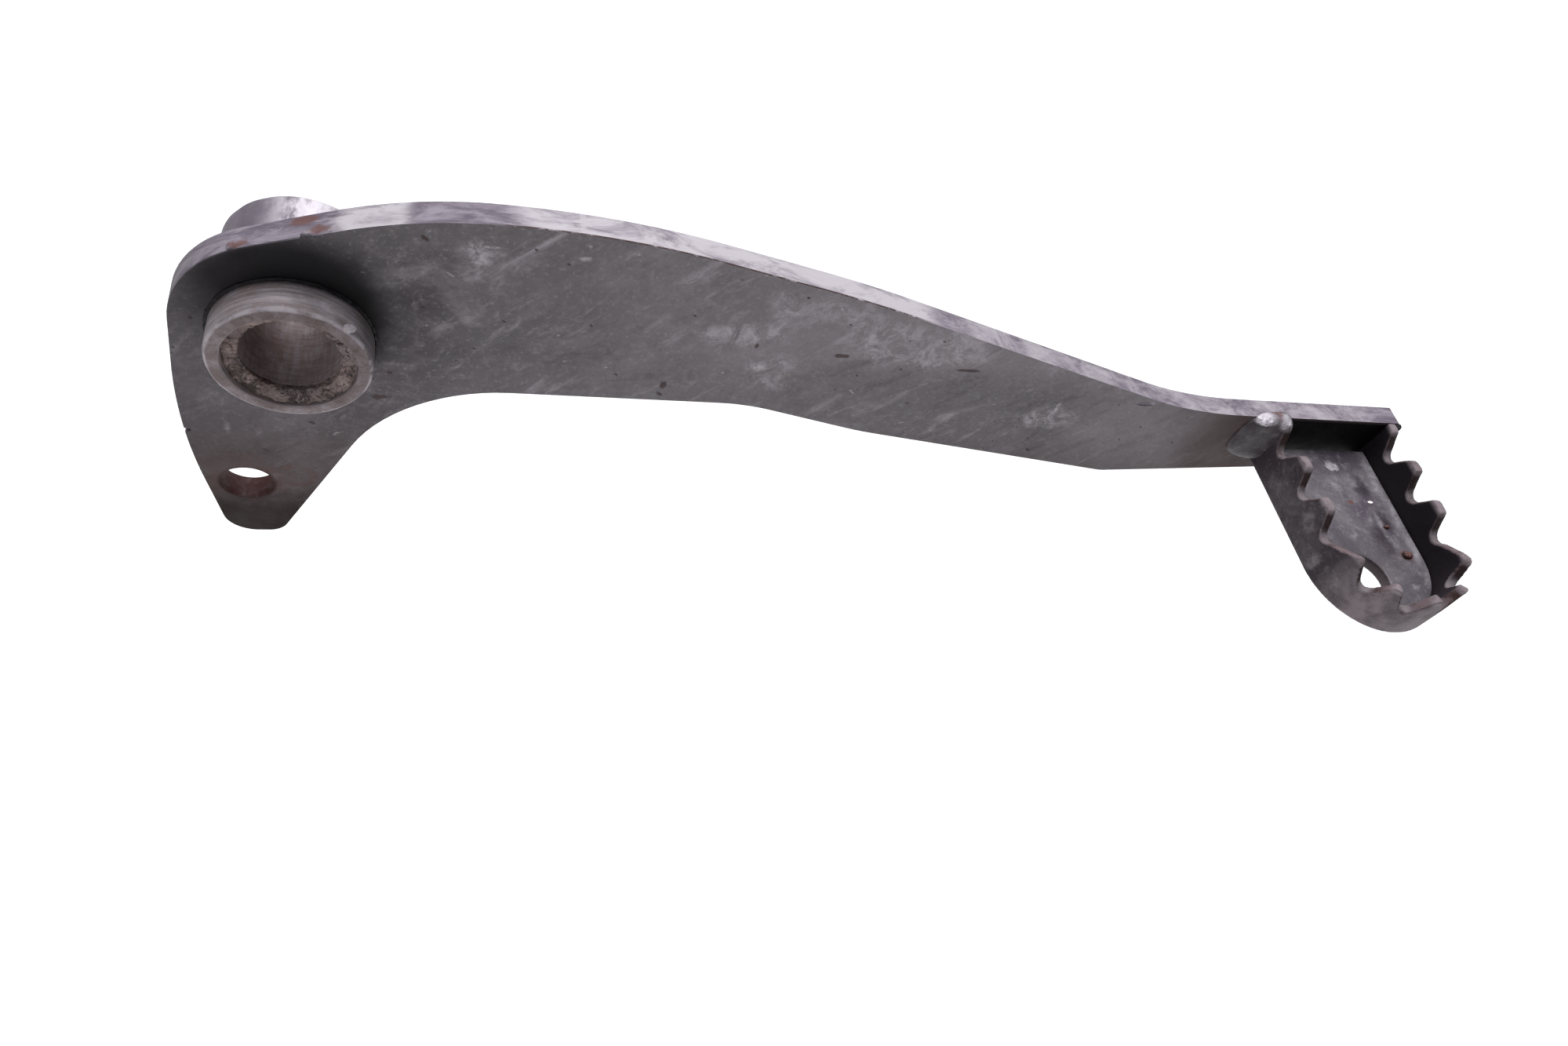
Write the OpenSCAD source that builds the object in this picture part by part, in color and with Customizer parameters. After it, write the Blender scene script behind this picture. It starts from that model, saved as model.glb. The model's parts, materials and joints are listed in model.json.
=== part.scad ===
// Rear brake pedal of a motorbike: a flat steel arm, a pivot boss, and a serrated foot tread.
// The origin is on the pivot's axis, half way through the arm's plate.
// X runs along the arm to the tread, Y through the pivot (the rider's side is -Y), and Z is up.

/* [Arm plate] */
// Thickness of the plate
plate_t = 5; // [4:0.5:8]
// Reach from the pivot to the end of the arm
arm_reach = 248; // [240:1:262]
// Radius of the plate's head round the pivot
head_r = 19.5; // [17.5:0.5:22]
// Distance from the pivot to the plate's back edge
heel_wall = 18.8; // [17.6:0.2:20.4]
// Height of the shoulder's top over the pivot
shoulder_z = 28.1; // [26:0.1:31]
// Depth of the lower edge under the pivot
waist_z = -12.1; // [-15:0.1:-10]
// Level of the arm's top edge at the tread
tip_top_z = -8; // [-11:0.5:-4]
// Depth of the arm's end at the tread
tip_depth = 16.5; // [15:0.1:24]

/* [Lever ear] */
// Distance from the rod hole to the ear's end
ear_end = 16.6; // [13:0.2:20]
// Distance from the rod hole to the ear's back edge
ear_back = 7.2; // [6.5:0.1:9]
// Distance from the rod hole to the ear's front edge
ear_front = 13.1; // [10:0.1:16]
// Place of the rod hole along X
rod_x = -12.1; // [-13:0.1:-9]
// Depth of the rod hole under the pivot
rod_drop = 42.7; // [40:0.1:46]
// Diameter of the rod hole
rod_hole_d = 10; // [6:0.5:11]

/* [Pivot boss] */
// Outside diameter of the boss
boss_d = 26; // [24:0.5:32]
// Diameter of the pivot bore
bore_d = 16; // [12:0.5:18]
// Diameter of the dust seal's seat
seat_d = 21; // [19:0.5:22]
// Depth of the dust seal's seat
seat_depth = 2.6; // [1:0.2:5]
// How far the boss stands out of the plate on the rider's side
boss_out = 6.7; // [5:0.1:12]
// How far the boss stands out of the plate on the frame's side
boss_in = 15.3; // [8:0.1:24]
// Chamfer on the boss's outer rims
boss_chamfer = 0.5; // [0.2:0.1:1]
// Clearance of the boss in the plate
boss_fit = 0.05; // [0.02:0.01:0.2]

/* [Tread band] */
// Width of the tread over its two legs
tread_w = 34.5; // [30:0.5:42]
// Distance from the tread's outer leg to the arm's end
tread_inset = 1.8; // [1:0.1:4]
// Length of the straight legs
leg_len = 33; // [32:0.5:44]
// Thickness of the strip
strip_t = 2.3; // [1.8:0.1:3]
// Height of the strip over the tips of the teeth
strip_h = 13.7; // [12:0.1:18]
// Depth of the valleys between the teeth
tooth_depth = 5.5; // [3.5:0.1:6]
// Slope of a tooth's flank from the upright
flank_angle = 29; // [25:1:31]
// Radius at the bottom of a valley
valley_r = 1.9; // [1.4:0.1:2.1]
// Radius worn on the tips of the teeth
tip_r = 0.6; // [0.4:0.1:0.9]
// Distance between valleys along the legs
leg_pitch = 11.8; // [11.4:0.1:12.4]
// Distance from the plate to the first valley
first_valley = 6.8; // [6:0.1:8]
// Angle between valleys round the end
end_pitch = 34.4; // [33:0.2:36]
// Width of the flat on top of the tooth at each corner
corner_flat = 1.6; // [1:0.1:2.4]

/* [Tread floor] */
// Thickness of the floor plate
floor_t = 3; // [2:0.2:4]
// Height of the floor's underside over the strip's lower edge
floor_lift = 1.2; // [0.8:0.1:2]
// Gap between the floor and the arm
floor_gap = 1.2; // [0.6:0.1:4]
// Diameter of the mud hole
mud_hole_d = 12; // [8:0.5:13]
// Wall left between the mud hole and the floor's edge
mud_hole_wall = 1.6; // [1.2:0.1:4]
// Direction of the mud hole round the end, from the leg nearer the pivot
mud_hole_angle = 45; // [30:5:150]
// Gap left between the floor and the strip for fitting
floor_fit = 0.1; // [0.05:0.01:0.3]

/* [Welds] */
// Leg of the bead round the boss
boss_bead = 0.7; // [0.5:0.1:3]
// Width of the large bead on the arm beside the tread
rear_bead_w = 8; // [5:0.5:10]
// Width of the large bead on the tread's leg
rear_bead_h = 5; // [3:0.5:6]
// Height of the large bead's lower end above the strip's lower edge
rear_bead_lift = 1.2; // [0.5:0.1:4]
// Leg of the small bead at the arm's end
tip_bead = 1.8; // [1:0.1:2.5]
// Leg of the short beads under the floor
floor_bead = 1.1; // [0.6:0.1:1.2]
// Length of each short bead under the floor
floor_bead_len = 10; // [6:0.5:14]

/* [Hidden] */
$fn = 96;
// Small overlap that lets a cut run clean through a face
cut = 1;
// Number of steps on a rounded corner of an outline
steps = 14;
// Straight slopes of the arm's edges, as rise over run
head_slope = 0.37;
back_slope = -0.219;
drop_slope = -0.296;
heel_slope = 0.115;
ear_back_slope = -0.13;
ear_front_slope = 1.95;
belly_slope = -0.262;
under_slope = -0.1675;
toe_slope = 0.078;
// Places along X where the arm's edges change direction, the crest's counted from the crown
crest_run = 33;
back_x = 100;
under_x = 109;
toe_x = 175;
// Faces of the plate and of the boss
face_out = -plate_t / 2;
face_in = plate_t / 2;
boss_y0 = face_out - boss_out;
boss_y1 = face_in + boss_in;
// Tread: middle, outer and inner radius of the round end, and its levels
tread_x = arm_reach - tread_inset - tread_w / 2;
end_r = tread_w / 2;
inner_r = end_r - strip_t;
end_y = face_out - leg_len;
tread_bottom = tip_top_z - strip_h;
valley_z = tip_top_z - tooth_depth;
floor_bottom = tread_bottom + floor_lift;
floor_top = floor_bottom + floor_t;
floor_y = face_out - floor_gap;
// Half the width of a valley at the tips of the teeth
valley_half = (tooth_depth - valley_r) * tan(flank_angle) + valley_r / cos(flank_angle);
// Distance from a tooth's corner to where its worn round meets the tip
wear = tip_r / tan((90 + flank_angle) / 2);
leg_valleys = [for (i = [0:2]) first_valley + i * leg_pitch];
end_valleys = [for (i = [0:3]) 90 + (i - 1.5) * end_pitch];

// Point where the line through p with slope m meets the line through q with slope n
function meet(p, m, q, n) =
    let (x = (q[1] - p[1] + m * p[0] - n * q[0]) / (m - n))
    [x, p[1] + m * (x - p[0])];

// Corner b of an outline, rounded with radius r between its neighbours a and c
function round_corner(a, b, c, r) =
    let (
        u = (a - b) / norm(a - b),
        v = (c - b) / norm(c - b),
        half = acos(u * v) / 2,
        middle = b + (u + v) / norm(u + v) * r / sin(half),
        start = b + u * r / tan(half) - middle,
        finish = b + v * r / tan(half) - middle,
        from = atan2(start[1], start[0]),
        turn = atan2(finish[1], finish[0]) - from,
        sweep = turn > 180 ? turn - 360 : turn < -180 ? turn + 360 : turn
    )
    [for (i = [0:steps]) middle + r * [cos(from + sweep * i / steps), sin(from + sweep * i / steps)]];

// Closed outline from corners that are each [x, z, radius]
function rounded(corners) =
    let (n = len(corners))
    [for (i = [0:n - 1])
        let (
            a = corners[(i + n - 1) % n],
            b = corners[i],
            c = corners[(i + 1) % n]
        )
        each round_corner([a[0], a[1]], [b[0], b[1]], [c[0], c[1]], b[2])];

// Corners of the arm, from the tip's top round the head and the ear to the tip's lower edge
tip_z = tip_top_z - tip_depth;
toe_z = tip_z + toe_slope * (toe_x - arm_reach);
under_z = toe_z + under_slope * (under_x - toe_x);
belly = meet([0, waist_z], 0, [under_x, under_z], belly_slope);
head_line = head_r * sqrt(1 + head_slope * head_slope);
crown = meet([0, head_line], head_slope, [0, shoulder_z], 0);
crest_x = crown[0] + crest_run;
back_z = shoulder_z + back_slope * (back_x - crest_x);
bend = meet([back_x, back_z], drop_slope, [0, tip_top_z], 0);
nape_z = (head_line - head_slope * heel_wall) / (1 - head_slope * heel_slope);
nape_x = heel_slope * nape_z - heel_wall;
ear_back_x = rod_x - ear_back;
heel_z = (ear_back_x + ear_back_slope * rod_drop + heel_wall) / (heel_slope - ear_back_slope);
heel_x = heel_slope * heel_z - heel_wall;
ear_bottom = -rod_drop - ear_end;
heel_r = 5.9 * min(nape_z - heel_z - 0.79 * head_r, heel_z - ear_bottom - 6);
ear_low_x = ear_back_x - ear_back_slope * ear_end;
ear_front_x = rod_x + ear_front - ear_end / ear_front_slope;
ear_w = ear_front_x - ear_low_x;
crotch = meet([ear_front_x, ear_bottom], ear_front_slope, [0, waist_z], 0);

ARM = [
    [arm_reach, tip_top_z, 1],
    [bend[0], bend[1], 100],
    [back_x, back_z, 300],
    [crest_x, shoulder_z, 170],
    [crown[0], crown[1], 75],
    [nape_x, nape_z, head_r],
    [heel_x, heel_z, heel_r],
    [ear_low_x, ear_bottom, 0.62 * ear_w],
    [ear_front_x, ear_bottom, 0.42 * ear_w],
    [crotch[0], crotch[1], 32],
    [belly[0], belly[1], 45],
    [under_x, under_z, 90],
    [toe_x, toe_z, 12],
    [arm_reach, tip_z, 1.5]
];

// Flat plate of the arm, with the boss's hole and the rod hole through it
module arm_plate() {
    color([0.33, 0.32, 0.33])
    difference() {
        rotate([90, 0, 0]) linear_extrude(height = plate_t, center = true) polygon(rounded(ARM));
        across_plate(boss_d / 2 + boss_fit);
        translate([rod_x, 0, -rod_drop]) across_plate(rod_hole_d / 2);
    }
}

// Round cut through the plate at the origin
module across_plate(r) {
    rotate([90, 0, 0]) cylinder(r = r, h = plate_t + 2 * cut, center = true);
}

// Turned boss with a through bore and a dust seal's seat in each end
module pivot_boss() {
    r = boss_d / 2;
    bore_r = bore_d / 2;
    seat_r = seat_d / 2;
    color([0.42, 0.39, 0.38])
    rotate([-90, 0, 0]) rotate_extrude() polygon([
        [bore_r, boss_y0 + seat_depth],
        [seat_r, boss_y0 + seat_depth],
        [seat_r, boss_y0],
        [r - boss_chamfer, boss_y0],
        [r, boss_y0 + boss_chamfer],
        [r, boss_y1 - boss_chamfer],
        [r - boss_chamfer, boss_y1],
        [seat_r, boss_y1],
        [seat_r, boss_y1 - seat_depth],
        [bore_r, boss_y1 - seat_depth]
    ]);
}

// Fillet bead round the boss, from the plate's face outwards; side is -1 for the rider's side
module boss_weld(side) {
    r = boss_d / 2;
    color([0.30, 0.28, 0.28])
    rotate([-90, 0, 0]) rotate_extrude() polygon([
        [r, side * plate_t / 2],
        [r + boss_bead, side * plate_t / 2],
        [r, side * (plate_t / 2 + boss_bead)]
    ]);
}

module boss_weld_outboard() {
    boss_weld(-1);
}

module boss_weld_inboard() {
    boss_weld(1);
}

// Solid of the tread's plan, seen from above: straight legs and a half-round end
module tread_plan(r, y0, z0, h) {
    translate([tread_x, end_y, z0]) cylinder(r = r, h = h);
    translate([tread_x - r, end_y, z0]) cube([2 * r, y0 - end_y, h]);
}

// Points of the round worn on a tooth's corner, from the flank to the tip
function tip_round() =
    [for (i = [0:6])
        let (a = 180 - flank_angle + (flank_angle - 90) * i / 6)
        [valley_half + wear + tip_r * cos(a), tip_top_z - tip_r + tip_r * sin(a)]];

// Outline of one valley in the developed strip: a slot with sloped flanks and a round bottom
module valley_outline(ramp) {
    foot = [valley_r * cos(flank_angle), valley_z + valley_r * (1 - sin(flank_angle))];
    half = concat([foot], tip_round(), [[valley_half + wear, tip_top_z + cut]]);
    last = len(half) - 1;
    translate([0, valley_z + valley_r]) circle(r = valley_r);
    polygon(concat(half, [for (i = [0:last]) [-half[last - i][0], half[last - i][1]]]));
    if (ramp > 0) polygon([[0, valley_z], [ramp, tip_top_z], [ramp, tip_top_z + cut], [0, tip_top_z + cut]]);
}

// Cuts one valley through a leg, s from the plate; side is -1 for the leg nearer the pivot
module leg_valley(side, s, ramp) {
    translate([tread_x + side * (end_r - strip_t), face_out, 0])
    mirror([0, 1, 0])
    translate([0, s, 0]) rotate([90, 0, 90])
    linear_extrude(height = 3 * strip_t, center = true) valley_outline(ramp);
}

// Cuts one valley through the round end, at an angle from the leg nearer the pivot
module end_valley(angle) {
    translate([tread_x, end_y, 0]) rotate([0, 0, 180 + angle])
    translate([inner_r - cut, 0, 0]) rotate([90, 0, 90])
    linear_extrude(height = strip_t + 2 * cut) valley_outline(0);
}

// Strip bent into a U, with teeth cut in its upper edge; the tooth at each corner has a long flank
module tread_band() {
    corner_angle = end_valleys[0] - (valley_half + corner_flat) / end_r * 180 / PI;
    ramp = leg_len + end_r * sin(corner_angle) - leg_valleys[2];
    color([0.36, 0.34, 0.35])
    difference() {
        tread_plan(end_r, face_out, tread_bottom, strip_h);
        tread_plan(inner_r, face_out + cut, tread_bottom - cut, strip_h + 2 * cut);
        for (side = [-1, 1], i = [0:2]) leg_valley(side, leg_valleys[i], i == 2 ? ramp : 0);
        for (angle = end_valleys) end_valley(angle);
    }
}

// Plate that closes the tread from below, short of the arm, with a mud hole near its end
module tread_floor() {
    color([0.50, 0.49, 0.51])
    difference() {
        tread_plan(inner_r - floor_fit, floor_y, floor_bottom, floor_t);
        translate([tread_x, end_y, floor_bottom - cut]) rotate([0, 0, 180 + mud_hole_angle])
            translate([inner_r - floor_fit - mud_hole_wall - mud_hole_d / 2, 0, 0])
            cylinder(d = mud_hole_d, h = floor_t + 2 * cut);
    }
}

// Large bead in the corner between the arm's face and the leg nearer the pivot
module tread_weld_rear() {
    low = tread_bottom + rear_bead_lift;
    color([0.44, 0.42, 0.43])
    translate([tread_x - end_r, face_out, low]) linear_extrude(height = tip_top_z - low) polygon([
        [0, 0],
        [-rear_bead_w, 0],
        [-rear_bead_w * 0.55, -rear_bead_h * 0.6],
        [0, -rear_bead_h]
    ]);
}

// Small bead between the arm's face and the other leg, at the arm's end
module tread_weld_tip() {
    leg = min(tip_bead, tread_inset);
    color([0.44, 0.42, 0.43])
    translate([tread_x + end_r, face_out, tread_bottom])
    intersection() {
        cylinder(r = leg, h = strip_h);
        translate([0, -2 * leg, 0]) cube([2 * leg, 2 * leg, strip_h]);
    }
}

// Short beads in the corner under the floor, two along each leg
module floor_welds() {
    color([0.30, 0.28, 0.28])
    for (side = [-1, 1], place = [0.3, 0.8])
        translate([tread_x + side * inner_r, face_out - place * leg_len, floor_bottom])
        intersection() {
            rotate([90, 0, 0]) cylinder(r = floor_bead, h = floor_bead_len, center = true);
            translate([side > 0 ? -2 * floor_bead : 0, -floor_bead_len, -2 * floor_bead])
                cube([2 * floor_bead, 2 * floor_bead_len, 2 * floor_bead]);
        }
}

arm_plate();
pivot_boss();
boss_weld_outboard();
boss_weld_inboard();
tread_band();
tread_floor();
tread_weld_rear();
tread_weld_tip();
floor_welds();
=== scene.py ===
"""Finish of a worn rear brake pedal: edges, welds, dirt, scratches and rust on a steel frame."""
import json
import math

import bpy
from bpy.props import FloatProperty, FloatVectorProperty, PointerProperty
from bpy.types import Operator, Panel, PropertyGroup
from mathutils import Matrix, Vector, noise


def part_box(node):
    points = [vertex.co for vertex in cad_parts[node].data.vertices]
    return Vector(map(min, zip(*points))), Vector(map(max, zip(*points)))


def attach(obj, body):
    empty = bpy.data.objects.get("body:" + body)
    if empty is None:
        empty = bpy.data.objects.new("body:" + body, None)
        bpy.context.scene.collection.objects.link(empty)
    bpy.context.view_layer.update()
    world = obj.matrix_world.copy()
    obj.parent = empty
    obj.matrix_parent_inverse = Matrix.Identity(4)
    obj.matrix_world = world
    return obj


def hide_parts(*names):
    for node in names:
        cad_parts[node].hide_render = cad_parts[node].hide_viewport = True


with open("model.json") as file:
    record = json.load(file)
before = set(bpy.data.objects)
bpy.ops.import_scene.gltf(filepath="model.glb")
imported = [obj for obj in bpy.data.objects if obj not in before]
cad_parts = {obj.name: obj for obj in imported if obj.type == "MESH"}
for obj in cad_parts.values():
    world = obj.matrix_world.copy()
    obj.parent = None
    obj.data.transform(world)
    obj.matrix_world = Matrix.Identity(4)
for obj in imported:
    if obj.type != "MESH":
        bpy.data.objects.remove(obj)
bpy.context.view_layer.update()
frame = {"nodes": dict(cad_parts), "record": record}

bl_info = {
    "name": "Worn Brake Pedal",
    "version": (1, 0, 0),
    "blender": (4, 5, 0),
    "location": "View3D > Sidebar > Pedal",
    "description": "Dresses a steel brake pedal with worn paint, welds, dirt and rust",
    "category": "Object",
}

BODY = "root"
MM = 0.001

# Fixed values of the modelling: voxels, a bead's edge, the way through the plate and the dents' seed
STRIP_VOXEL = 0.32 * MM
RING_VOXEL = 0.22 * MM
BEAD_VOXEL = 0.18 * MM
BEAD_EDGE = 0.25 * MM
THROUGH = 9
DENT_SEED = 1

# Fixed values of the materials: their specular level, and the Mix node's sockets for colours
GLOSS = 0.15
MIX_SOCKETS = (0, 6, 7, 2)

# Fixed values of the stage: the floor's width, where its glow grows and how far, and the lights
FLOOR_WIDTH = 12
GLOW_FROM, GLOW_TO, FAR_GLOW = 1.2, 3.0, 0.8
TOP_AWAY, TOP_WIDTH = (0.1, 0.9, 1.8), 2.2
SIDE_AWAY, SIDE_WIDTH = (-0.4, -0.7, -0.05), 0.5
SENSOR_WIDTH = 36
CLOSEST = 0.005


def span(node):
    """Lowest and highest corner of a frame node, as two vectors in metres."""
    low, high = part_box(node)
    return Vector(low), Vector(high)


ARM_LOW, ARM_HIGH = span("arm_plate")
BOSS_LOW, BOSS_HIGH = span("pivot_boss")
BAND_LOW, BAND_HIGH = span("tread_band")
FLOOR_EDGE = span("tread_floor")[1].x
MOUNTS = {mount["name"]: mount for mount in frame["record"]["mounts"]}
BORE_R = MOUNTS["pivot_bore"]["dims"]["r_mm"] * MM
SEAT_R = MOUNTS["seal_seat_outboard"]["dims"]["r_mm"] * MM
SEAT_DEPTH = MOUNTS["seal_seat_outboard"]["dims"]["length_mm"] * MM
ROD_AT = Vector(MOUNTS["rod_hole"]["pos_m"])
BOSS_R = (BOSS_HIGH.x - BOSS_LOW.x) / 2
FACE_OUT = ARM_LOW.y
FACE_IN = ARM_HIGH.y
BAND_R = (BAND_HIGH.x - BAND_LOW.x) / 2
BAND_MIDDLE = (BAND_HIGH.x + BAND_LOW.x) / 2
SEAT_FLOOR = BOSS_LOW.y + SEAT_DEPTH


def linear(red, green, blue):
    """Scene-linear colour of an 8-bit display colour, with full alpha."""
    def channel(value):
        part = value / 255
        return part / 12.92 if part <= 0.04045 else ((part + 0.055) / 1.055) ** 2.4
    return (channel(red), channel(green), channel(blue), 1.0)


def colour(name, description, red, green, blue):
    """Colour property whose default is an 8-bit display colour."""
    return FloatVectorProperty(name=name, description=description, subtype="COLOR", size=4, min=0, max=1,
                               default=linear(red, green, blue))


def length(name, description, size, least, most):
    """Length property whose default and limits are in millimetres."""
    return FloatProperty(name=name, description=description, unit="LENGTH", default=size * MM,
                         min=least * MM, max=most * MM)


# Colours of small marks, painted highlights and painted shade that the settings leave as they are
PAINTED_HIGHLIGHT = linear(226, 220, 230)
HOLE_RUST = linear(64, 40, 38)
SCORCH = linear(32, 21, 20)
DEEP_SHADE = linear(10, 9, 10)
INNER_WALL_SHADE = linear(38, 33, 40)
FLANK_SHADE = linear(40, 28, 28)
WHITE_FLECK = (0.9, 0.88, 0.86, 1)
STAGE_GREY, STAGE_PALE = linear(238, 238, 238), linear(244, 244, 244)
WHITE = (1, 1, 1, 1)


class PedalFinish(PropertyGroup):
    """Colours of the paint, the bare steel, the dirt and the rust."""
    paint: colour("Paint", "Dark grey paint on the arm", 88, 84, 88)
    paint_worn: colour("Worn paint", "Paint rubbed lighter by a boot", 125, 120, 125)
    steel: colour("Bare steel", "Steel where the paint has gone", 184, 178, 186)
    band: colour("Edge band", "Worn lavender grey on the arm's upper edge", 150, 143, 154)
    boss: colour("Boss", "Brownish grey of the turned boss", 122, 110, 111)
    boss_rear: colour("Boss rear", "Purple grey of the boss's long end", 100, 92, 105)
    bore: colour("Bore", "Grey brown of the bore's wall", 150, 137, 138)
    dirt: colour("Dirt", "Dry dirt in the seal's seat", 160, 143, 138)
    dirt_dark: colour("Dark dirt", "Damp dirt in cracks and corners", 44, 38, 38)
    rust: colour("Rust", "Reddish brown rust", 104, 70, 64)
    # Nearly black: painted shade by the boss and at its root, and dark welds with painted shade in the
    # corners where they sit
    rust_dark: colour("Dark rust", "Old dark rust", 58, 42, 40)
    soot_and_shade: colour("Corner soot", "Nearly black film inside the tread", 20, 18, 21)
    floor: colour("Tread floor", "Worn light grey on the tread's floor", 84, 77, 88)
    tread: colour("Tread", "Dark paint on the tread's strip", 46, 39, 45)
    cut_edge: colour("Cut edge", "Reddish grey of the worn tooth edges", 108, 94, 98)


class PedalWear(PropertyGroup):
    """Sizes of worn edges and of what is stuck on the steel."""
    edge: length("Worn edge", "Radius worn on the plate's edges", 0.45, 0.1, 1)
    rim_edge: length("Worn rim", "Radius worn on the boss's rims", 0.35, 0.1, 1)
    dent: length("Dents", "Depth of the shallow dents along the teeth and the rims", 0.3, 0, 1)
    bead_ripple: length("Weld ripple", "Height of the ripples on a weld bead", 0.5, 0, 1)
    weld_reach: FloatVectorProperty(name="Large weld",
                                    description="How far the large weld reaches from its middle",
                                    subtype="XYZ", unit="LENGTH", default=(8.6 * MM, 3.3 * MM, 7.2 * MM))
    dirt_depth: length("Dirt", "Thickness of the dirt in the seal's seat", 2.4, 0.2, 2.5)


class PedalStage(PropertyGroup):
    """Camera, floor and lights."""
    camera_at: FloatVectorProperty(name="Camera", description="Where the camera stands",
                                   subtype="TRANSLATION", unit="LENGTH",
                                   default=(0.02372, -0.13911, 0.14738))
    camera_aim: FloatVectorProperty(name="Aim", description="Direction in which the camera looks", size=3,
                                    default=(0.3054, 0.5336, -0.7887))
    camera_roll: FloatProperty(name="Roll", description="Turn of the camera about its view",
                               subtype="ANGLE", default=math.radians(24.97))
    lens: FloatProperty(name="Lens", description="Focal length for a 36 mm sensor", default=24.74, min=10,
                        max=200)
    floor_drop: FloatProperty(name="Floor", description="Depth of the floor under the pedal", default=0.16,
                              min=0, unit="LENGTH")
    sky: FloatProperty(name="Sky", description="Strength of the even light all round", default=0.16, min=0)
    glow: FloatProperty(name="Floor glow", description="Light that the pale floor sends up", default=0.12,
                        min=0)
    top_power: FloatProperty(name="Top light", description="Power of the light above", default=72, min=0,
                             unit="POWER")
    side_power: FloatProperty(name="Side light", description="Power of the light on the rider's side",
                              default=2.0, min=0, unit="POWER")


# Tools for meshes

def deselect():
    """Leaves edit mode and selects nothing."""
    if bpy.context.object and bpy.context.object.mode != "OBJECT":
        bpy.ops.object.mode_set(mode="OBJECT")
    bpy.ops.object.select_all(action="DESELECT")


def only(piece):
    """Selects one piece and makes it active."""
    deselect()
    piece.select_set(True)
    bpy.context.view_layer.objects.active = piece
    return piece


def copy_of(node, name):
    """New piece with a clean, joined copy of a frame node's mesh."""
    source = frame["nodes"][node]
    deselect()
    mesh = source.data.copy()
    mesh.name = name
    mesh.materials.clear()
    piece = bpy.data.objects.new(name, mesh)
    bpy.context.scene.collection.objects.link(piece)
    only(piece)
    bpy.ops.object.mode_set(mode="EDIT")
    bpy.ops.mesh.select_all(action="SELECT")
    bpy.ops.mesh.remove_doubles(threshold=1e-6)
    bpy.ops.mesh.dissolve_limited(angle_limit=math.radians(0.6))
    bpy.ops.mesh.normals_make_consistent(inside=False)
    bpy.ops.object.mode_set(mode="OBJECT")
    return piece


def settle(piece):
    """Puts a piece's place into its mesh, so that its object sits at the origin."""
    only(piece)
    bpy.ops.object.transform_apply(location=True, rotation=True, scale=True)


def modify(piece, kind, **settings):
    """Adds a modifier and applies it at once."""
    only(piece)
    modifier = piece.modifiers.new(kind.title(), kind)
    for key, value in settings.items():
        setattr(modifier, key, value)
    bpy.ops.object.modifier_apply(modifier=modifier.name)


def round_edges(piece, width, segments=3, angle=30):
    """Rounds the sharp edges of a piece."""
    modify(piece, "BEVEL", width=width, segments=segments, limit_method="ANGLE",
           angle_limit=math.radians(angle), use_clamp_overlap=True)


def smooth(piece, angle=40):
    """Shades a piece smooth, apart from its sharp edges."""
    only(piece)
    bpy.ops.object.shade_smooth_by_angle(angle=math.radians(angle))


def roughen(piece, size, height):
    """Moves the surface in and out by a cloud pattern, as a modifier that is applied."""
    cloud = bpy.data.textures.new("Roughness", "CLOUDS")
    cloud.noise_scale = size
    cloud.noise_depth = 3
    modify(piece, "DISPLACE", texture=cloud, texture_coords="LOCAL", strength=height, mid_level=0.5)


def bend_to(piece, rule):
    """Moves every vertex to the place that a rule gives for it."""
    for vertex in piece.data.vertices:
        vertex.co = rule(vertex.co)
    piece.data.update()


def lump(name, centre, reach, ripple, square=2.6):
    """Closed lump with a rough skin, from a sphere swollen towards a box; sizes in metres."""
    deselect()
    bpy.ops.mesh.primitive_uv_sphere_add(segments=64, ring_count=32, radius=1, location=(0, 0, 0))
    piece = bpy.context.object
    piece.name = name
    piece.data.name = name

    def swell(place):
        size = sum(abs(part) ** square for part in place) ** (-1 / square)
        return Vector([middle + part * size * far for part, middle, far in zip(place, centre, reach)])

    bend_to(piece, swell)
    roughen(piece, max(reach) * 0.5, ripple * 2)
    roughen(piece, max(reach) * 0.16, ripple * 0.8)
    smooth(piece, 70)
    return piece


def merge(name, pieces):
    """Joins closed lumps into one piece."""
    deselect()
    for piece in pieces:
        piece.select_set(True)
    bpy.context.view_layer.objects.active = pieces[0]
    bpy.ops.object.join()
    pieces[0].name = name
    pieces[0].data.name = name
    return pieces[0]


def crumb(name, centre, reach, ripple):
    """Small lump whose centre, reach and ripple are given in millimetres."""
    return lump(name, Vector(centre) * MM, Vector(reach) * MM, ripple * MM)


def notch(piece, centre, reach):
    """Cuts a small rough notch out of a piece; the sizes are in millimetres."""
    tool = crumb("notch_tool", centre, reach, 0.08)
    modify(piece, "BOOLEAN", operation="DIFFERENCE", object=tool, solver="EXACT")
    bpy.data.objects.remove(tool, do_unlink=True)


def finish_piece(piece, material, slot, *nodes):
    """Gives a piece its material and body, and hides the nodes that it stands for."""
    piece.data.materials.clear()
    piece.data.materials.append(material)
    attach(piece, BODY)
    if nodes:
        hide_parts(*nodes)
    return piece


# Materials, each a stack of layers on object coordinates

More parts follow.
